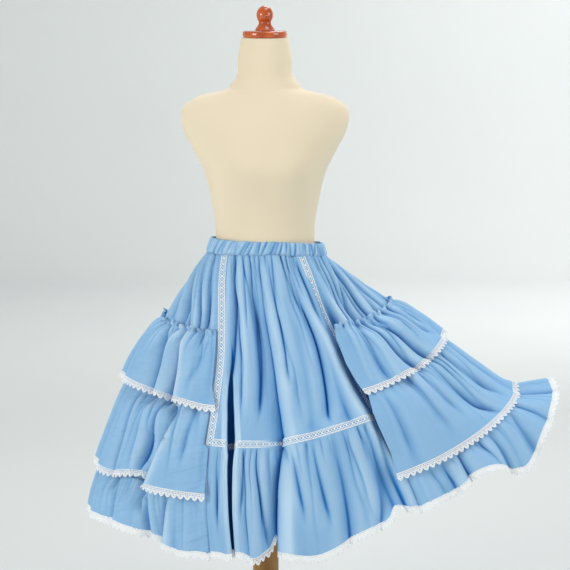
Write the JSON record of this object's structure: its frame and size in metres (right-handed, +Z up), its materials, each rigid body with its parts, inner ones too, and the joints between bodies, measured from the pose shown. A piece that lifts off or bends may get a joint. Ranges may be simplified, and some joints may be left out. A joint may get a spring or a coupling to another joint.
{
  "type": "tiered ruffle skirt on dress form",
  "caption": "Flared cotton skirt with a gathered waistband, lace-bordered front panel and lace-edged ruffle tiers, standing on a limbless dress form with post and round foot.",
  "frame": {"origin": "on the post's axis, in the plane of the round foot's underside", "axes": "+X to the side the skirt is flung out, -Y toward the front panel, +Z up"},
  "size_m": [1.0861, 0.6818, 1.5266],
  "materials": {
    "cotton": "matte plain-weave cotton",
    "lace": "matte cotton lace",
    "form_cover": "matte fine jersey",
    "knob_wood": "gloss varnish",
    "stand_wood": "satin varnish"
  },
  "bodies": {
    "root": {"waistband": "cotton", "front_panel": "cotton", "side_back_panel": "cotton", "ruffle_upper": "cotton", "ruffle_middle": "cotton", "ruffle_lower": "cotton", "front_ruffle": "cotton", "lace_front_left": "lace", "lace_front_right": "lace", "lace_front_bottom": "lace", "edging_upper": "lace", "edging_middle": "lace", "edging_lower": "lace", "edging_front": "lace", "form_body": "form_cover", "neck_plate": "knob_wood", "finial": "knob_wood", "post": "stand_wood", "base": "stand_wood"}
  },
  "joints": []
}
